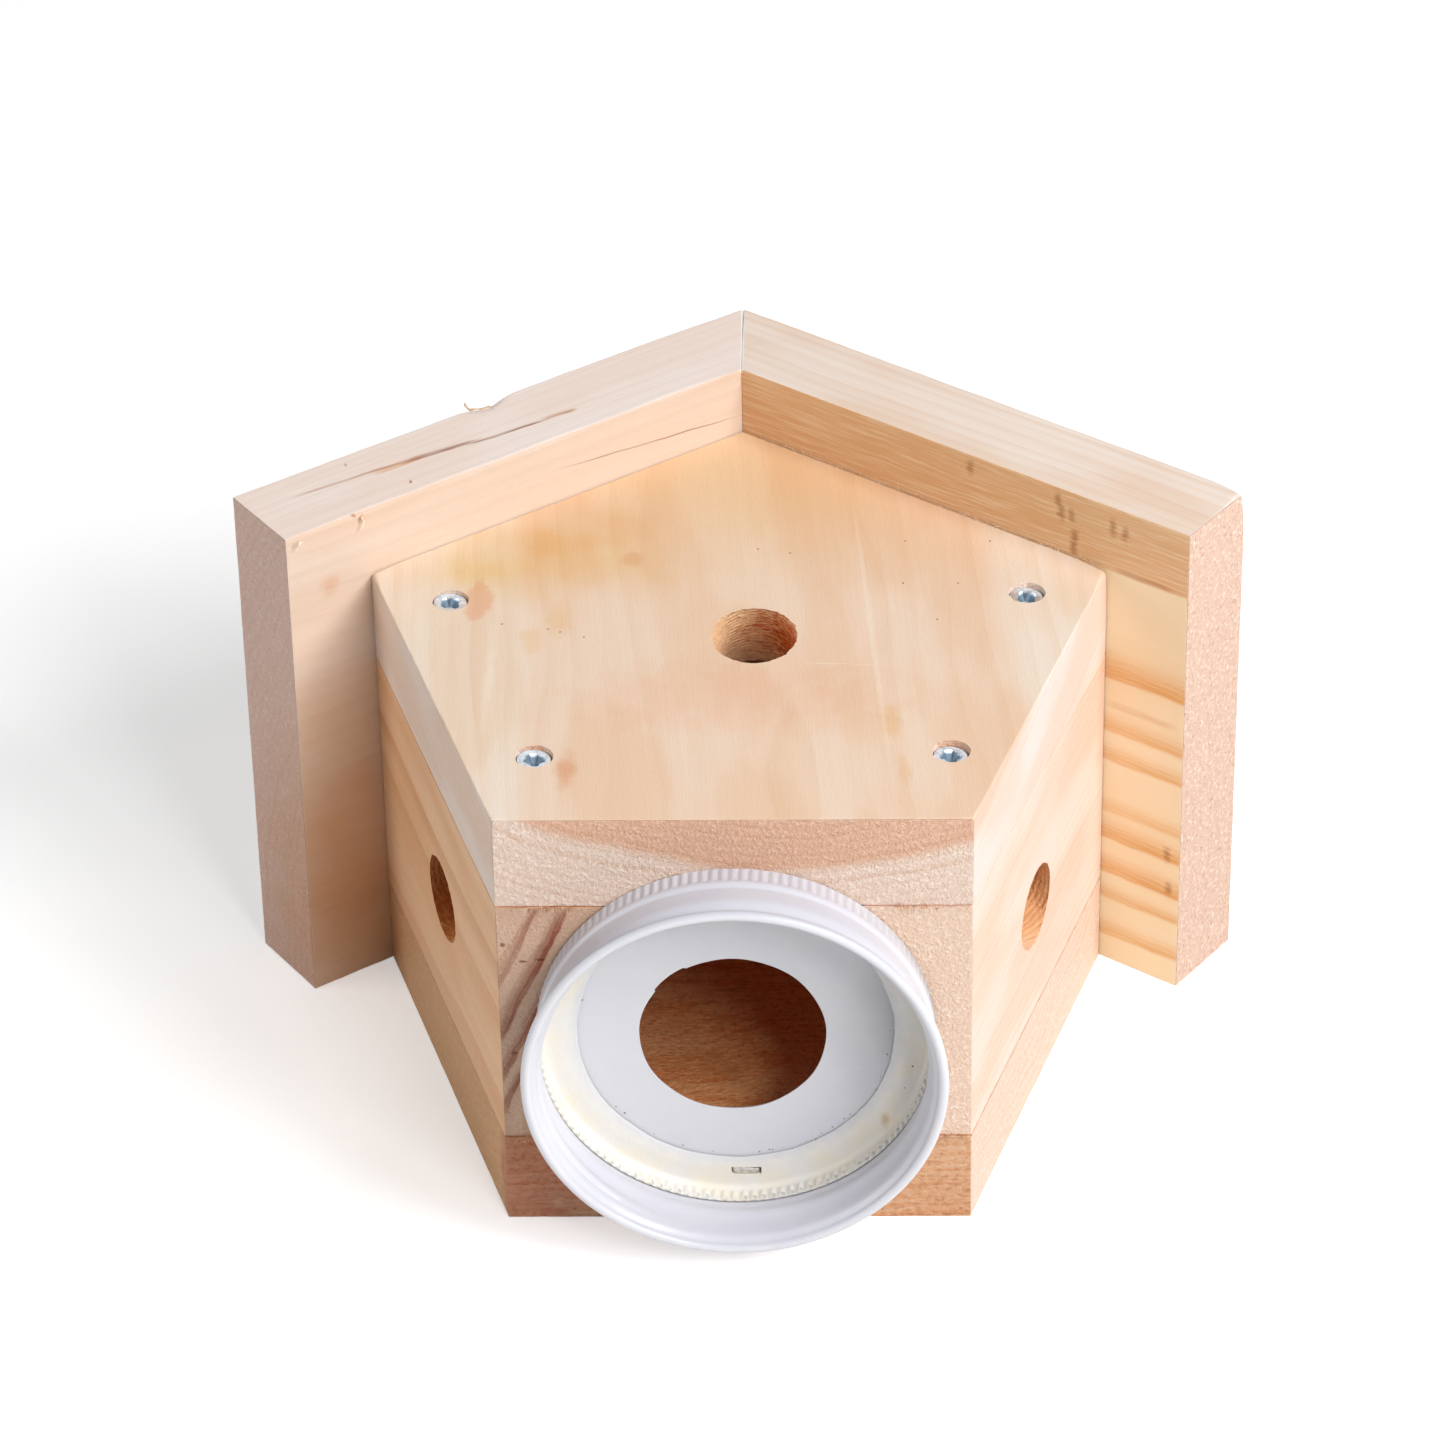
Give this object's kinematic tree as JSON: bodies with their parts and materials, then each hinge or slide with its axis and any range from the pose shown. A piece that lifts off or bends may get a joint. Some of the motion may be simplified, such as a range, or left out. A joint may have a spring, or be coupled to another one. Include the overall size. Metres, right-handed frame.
{
  "type": "carpenter bee trap",
  "caption": "Five-sided wooden box under a gable roof, with slanted round entry holes in its front and sides and a threaded metal jar lid fixed under its open bottom.",
  "frame": {"origin": "middle of the five-sided back panel's back face, which lies against the wall in use", "axes": "+Z out of the front panel, which is up as the trap lies on its back; +Y to the roof's ridge, which is up when the trap hangs; +X to the right as seen from the front"},
  "size_m": [0.1916, 0.1743, 0.1047],
  "materials": {
    "panel_wood": "bare planed softwood",
    "side_wood": "bare planed softwood",
    "roof_wood": "bare planed softwood",
    "lid_enamel": "white stoved enamel, satin",
    "sealing_compound": "cream, soft matt",
    "staple_wire": "galvanised",
    "screw_zinc": "bright zinc plate"
  },
  "bodies": {
    "root": {"front_panel": "panel_wood", "back_panel": "panel_wood", "left_side_board": "side_wood", "right_side_board": "side_wood", "left_roof_board": "roof_wood", "right_roof_board": "roof_wood", "lid_shell": "lid_enamel", "lid_gasket": "sealing_compound", "lower_staple": "staple_wire", "upper_staple": "staple_wire", "front_screw_left_lower": "screw_zinc", "front_screw_left_upper": "screw_zinc", "front_screw_right_lower": "screw_zinc", "front_screw_right_upper": "screw_zinc", "back_screw_left_lower": "screw_zinc", "back_screw_left_upper": "screw_zinc", "back_screw_right_lower": "screw_zinc", "back_screw_right_upper": "screw_zinc", "roof_screw_left_front_eave": "screw_zinc", "roof_screw_left_front_ridge": "screw_zinc", "roof_screw_left_back_eave": "screw_zinc", "roof_screw_left_back_ridge": "screw_zinc", "roof_screw_right_front_eave": "screw_zinc", "roof_screw_right_front_ridge": "screw_zinc", "roof_screw_right_back_eave": "screw_zinc", "roof_screw_right_back_ridge": "screw_zinc"}
  },
  "joints": []
}
